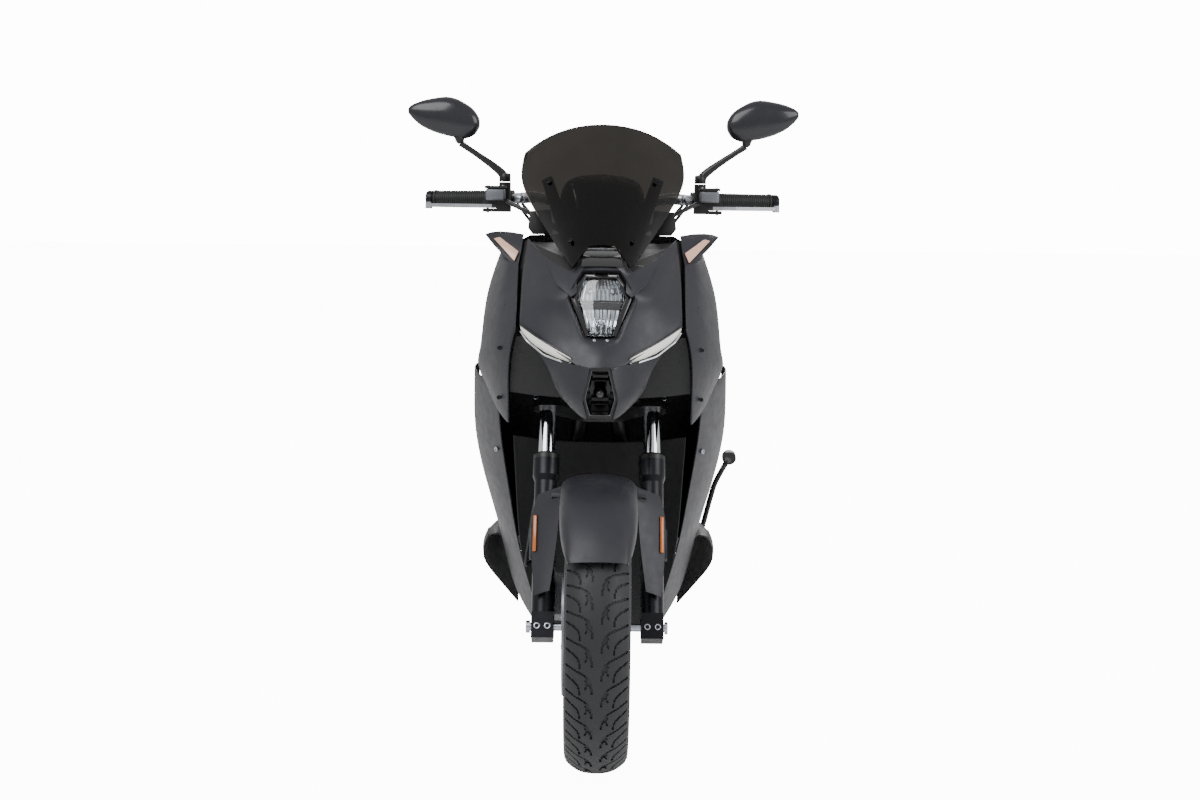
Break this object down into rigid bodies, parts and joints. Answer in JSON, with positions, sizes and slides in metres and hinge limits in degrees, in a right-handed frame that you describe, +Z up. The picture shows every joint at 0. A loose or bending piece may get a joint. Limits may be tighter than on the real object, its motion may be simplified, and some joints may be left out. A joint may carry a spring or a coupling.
{
  "type": "moped scooter",
  "caption": "Step-through maxi moped scooter with twin-leg fork, tall smoked screen, hexagonal headlight, dual seat and swinging rear power unit, standing on its centre stand",
  "frame": {"origin": "centre of the bounding box's footprint, on the ground", "axes": "-Y is forward, +X is the rider's left, +Z is up"},
  "size_m": [0.8102, 1.958, 1.2962],
  "materials": {
    "main_frame": "satin black paint",
    "nose_cowl": "fine grained matte moulding",
    "nose_duct": "black textured moulding",
    "headlight_housing": "polished",
    "headlight_lens": "clear polycarbonate",
    "position_lights": "clear polycarbonate",
    "front_fairings": "fine grained matte moulding",
    "front_signals": "clear polycarbonate",
    "leg_shields": "fine grained matte moulding",
    "inner_shield": "black textured moulding",
    "floorboards": "black textured moulding",
    "fender_liner": "black textured moulding",
    "tail_covers": "fine grained matte moulding",
    "tail_light": "clear polycarbonate",
    "rear_mudguard": "black textured moulding",
    "grab_rail": "satin",
    "seat_tub": "black textured moulding",
    "dash_cowl": "black textured moulding",
    "tunnel_cover": "black textured moulding",
    "screen_brackets": "satin",
    "windscreen": "smoked polycarbonate",
    "seat_cushion": "grained seat covering",
    "fuel_lid": "fine grained matte moulding",
    "glovebox_lid": "black textured moulding",
    "steering_stem": "satin black paint",
    "fork_stanchions": "polished",
    "handlebar": "satin",
    "left_grip": "moulded rubber",
    "left_controls": "black textured moulding",
    "right_controls": "black textured moulding",
    "throttle_grip": "moulded rubber",
    "front_brake_lever": "satin",
    "rear_brake_lever": "satin",
    "left_mirror_arm": "black textured moulding",
    "right_mirror_arm": "black textured moulding",
    "left_mirror": "fine grained matte moulding",
    "right_mirror": "fine grained matte moulding",
    "start_button": "fine grained matte moulding",
    "fork_sliders": "satin",
    "front_fender": "fine grained matte moulding",
    "front_axle": "satin",
    "front_caliper": "satin",
    "brake_hose": "moulded rubber",
    "front_rim": "satin",
    "front_tyre": "moulded tread",
    "front_disc": "satin black paint",
    "crankcase": "satin",
    "cvt_cover": "black textured moulding",
    "exhaust": "satin black paint",
    "rear_caliper": "satin",
    "rear_rim": "satin",
    "rear_tyre": "moulded tread",
    "rear_disc": "satin black paint",
    "shock_dampers": "satin black paint",
    "shock_rods": "polished",
    "shock_springs": "satin black paint",
    "centre_stand": "satin black paint",
    "side_stand": "satin black paint",
    "left_footpeg": "satin",
    "right_footpeg": "satin"
  },
  "bodies": {
    "frame": {"main_frame": "main_frame", "nose_cowl": "nose_cowl", "nose_duct": "nose_duct", "headlight_housing": "headlight_housing", "headlight_lens": "headlight_lens", "position_lights": "position_lights", "front_fairings": "front_fairings", "front_signals": "front_signals", "leg_shields": "leg_shields", "inner_shield": "inner_shield", "floorboards": "floorboards", "fender_liner": "fender_liner", "tail_covers": "tail_covers", "tail_light": "tail_light", "rear_mudguard": "rear_mudguard", "grab_rail": "grab_rail", "seat_tub": "seat_tub", "dash_cowl": "dash_cowl", "tunnel_cover": "tunnel_cover", "screen_brackets": "screen_brackets"},
    "screen": {"windscreen": "windscreen"},
    "seat": {"seat_cushion": "seat_cushion"},
    "fuel_flap": {"fuel_lid": "fuel_lid"},
    "glovebox": {"glovebox_lid": "glovebox_lid"},
    "steering": {"steering_stem": "steering_stem", "fork_stanchions": "fork_stanchions", "handlebar": "handlebar", "left_grip": "left_grip", "left_controls": "left_controls", "right_controls": "right_controls"},
    "throttle": {"throttle_grip": "throttle_grip"},
    "front_lever": {"front_brake_lever": "front_brake_lever"},
    "rear_lever": {"rear_brake_lever": "rear_brake_lever"},
    "left_arm": {"left_mirror_arm": "left_mirror_arm"},
    "right_arm": {"right_mirror_arm": "right_mirror_arm"},
    "left_pod": {"left_mirror": "left_mirror"},
    "right_pod": {"right_mirror": "right_mirror"},
    "starter": {"start_button": "start_button"},
    "fork_lower": {"fork_sliders": "fork_sliders", "front_fender": "front_fender", "front_axle": "front_axle", "front_caliper": "front_caliper", "brake_hose": "brake_hose"},
    "front_wheel": {"front_rim": "front_rim", "front_tyre": "front_tyre", "front_disc": "front_disc"},
    "swing_unit": {"crankcase": "crankcase", "cvt_cover": "cvt_cover", "exhaust": "exhaust", "rear_caliper": "rear_caliper"},
    "rear_wheel": {"rear_rim": "rear_rim", "rear_tyre": "rear_tyre", "rear_disc": "rear_disc"},
    "dampers": {"shock_dampers": "shock_dampers", "shock_springs": "shock_springs"},
    "damper_rods": {"shock_rods": "shock_rods"},
    "main_stand": {"centre_stand": "centre_stand"},
    "kick_stand": {"side_stand": "side_stand"},
    "left_peg": {"left_footpeg": "left_footpeg"},
    "right_peg": {"right_footpeg": "right_footpeg"}
  },
  "joints": [
    {"name": "steering_turn", "type": "hinge", "parent": "frame", "child": "steering", "pos_m": [0, -0.41276, 0.76], "axis": [0, 0.454, 0.891], "range_deg": [-25, 25]},
    {"name": "fork_slide", "type": "slide", "parent": "steering", "child": "fork_lower", "axis": [0, 0.454, 0.891], "range_m": [0, 0.08], "stiffness_N_per_m": 15000, "springref_m": -0.08},
    {"name": "front_wheel_spin", "type": "hinge", "parent": "fork_lower", "child": "front_wheel", "pos_m": [0, -0.705, 0.274], "axis": [1, 0, 0], "continuous": true},
    {"name": "rear_swing", "type": "hinge", "parent": "frame", "child": "swing_unit", "pos_m": [0, 0.215, 0.262], "axis": [1, 0, 0], "range_deg": [0, 9], "stiffness_Nm_per_rad": 9000, "springref_deg": -3.44},
    {"name": "rear_wheel_spin", "type": "hinge", "parent": "swing_unit", "child": "rear_wheel", "pos_m": [0, 0.665, 0.276], "axis": [1, 0, 0], "continuous": true},
    {"name": "damper_tilt", "type": "hinge", "parent": "frame", "child": "dampers", "pos_m": [0, 0.69, 0.622], "axis": [1, 0, 0], "range_deg": [-5.5, 0]},
    {"name": "damper_stroke", "type": "slide", "parent": "dampers", "child": "damper_rods", "axis": [0, 0, 1], "range_m": [0, 0.074], "deforming": ["shock_springs"]},
    {"name": "screen_height", "type": "slide", "parent": "frame", "child": "screen", "axis": [0, 0.15, 0.9887], "range_m": [0, 0.08]},
    {"name": "seat_lift", "type": "hinge", "parent": "frame", "child": "seat", "pos_m": [0, 0.06, 0.703], "axis": [1, 0, 0], "range_deg": [0, 70]},
    {"name": "fuel_lid_lift", "type": "hinge", "parent": "frame", "child": "fuel_flap", "pos_m": [0, -0.14478, 0.53228], "axis": [1, 0, 0], "range_deg": [0, 95]},
    {"name": "glovebox_open", "type": "hinge", "parent": "frame", "child": "glovebox", "pos_m": [0, -0.2585, 0.711], "axis": [-1, 0, 0], "range_deg": [0, 75]},
    {"name": "throttle_twist", "type": "hinge", "parent": "steering", "child": "throttle", "pos_m": [-0.23795, -0.2691, 1.08774], "axis": [-0.9681, 0.25, -0.014], "range_deg": [0, 65], "stiffness_Nm_per_rad": 0.5},
    {"name": "front_brake_squeeze", "type": "hinge", "parent": "steering", "child": "front_lever", "pos_m": [-0.23995, -0.3151, 1.07174], "axis": [0, 0, -1], "range_deg": [0, 7], "stiffness_Nm_per_rad": 4, "springref_deg": -2.86},
    {"name": "rear_brake_squeeze", "type": "hinge", "parent": "steering", "child": "rear_lever", "pos_m": [0.23995, -0.3151, 1.07174], "axis": [0, 0, 1], "range_deg": [0, 7], "stiffness_Nm_per_rad": 4, "springref_deg": -2.86},
    {"name": "left_mirror_swivel", "type": "hinge", "parent": "steering", "child": "left_arm", "pos_m": [0.20412, -0.3121, 1.12269], "axis": [0, 0, 1], "range_deg": [-5, 30]},
    {"name": "right_mirror_swivel", "type": "hinge", "parent": "steering", "child": "right_arm", "pos_m": [-0.20412, -0.3121, 1.12269], "axis": [0, 0, -1], "range_deg": [-5, 30]},
    {"name": "left_mirror_tilt", "type": "hinge", "parent": "left_arm", "child": "left_pod", "pos_m": [0.30012, -0.3241, 1.21469], "axis": [1, 0, 0], "range_deg": [-10, 10]},
    {"name": "right_mirror_tilt", "type": "hinge", "parent": "right_arm", "child": "right_pod", "pos_m": [-0.30012, -0.3241, 1.21469], "axis": [1, 0, 0], "range_deg": [-10, 10]},
    {"name": "start_press", "type": "slide", "parent": "steering", "child": "starter", "axis": [0, -1, 0], "range_m": [0, 0.002], "stiffness_N_per_m": 1000},
    {"name": "centre_stand_fold", "type": "hinge", "parent": "frame", "child": "main_stand", "pos_m": [0, 0.318, 0.14], "axis": [1, 0, 0], "range_deg": [0, 95]},
    {"name": "side_stand_swing", "type": "hinge", "parent": "frame", "child": "kick_stand", "pos_m": [0.139, 0.058, 0.167], "axis": [-1, 0, 0], "range_deg": [0, 90], "stiffness_Nm_per_rad": 1.5, "springref_deg": -34.38},
    {"name": "left_peg_fold", "type": "hinge", "parent": "frame", "child": "left_peg", "pos_m": [0.163, 0.332, 0.43], "axis": [0, 0, -1], "range_deg": [0, 85]},
    {"name": "right_peg_fold", "type": "hinge", "parent": "frame", "child": "right_peg", "pos_m": [-0.163, 0.332, 0.43], "axis": [0, 0, 1], "range_deg": [0, 85]}
  ],
  "couplings": [
    {"joint": "damper_tilt", "follows": "rear_swing", "ratio": -0.556},
    {"joint": "damper_stroke", "follows": "rear_swing", "m_per_rad": 0.457}
  ]
}
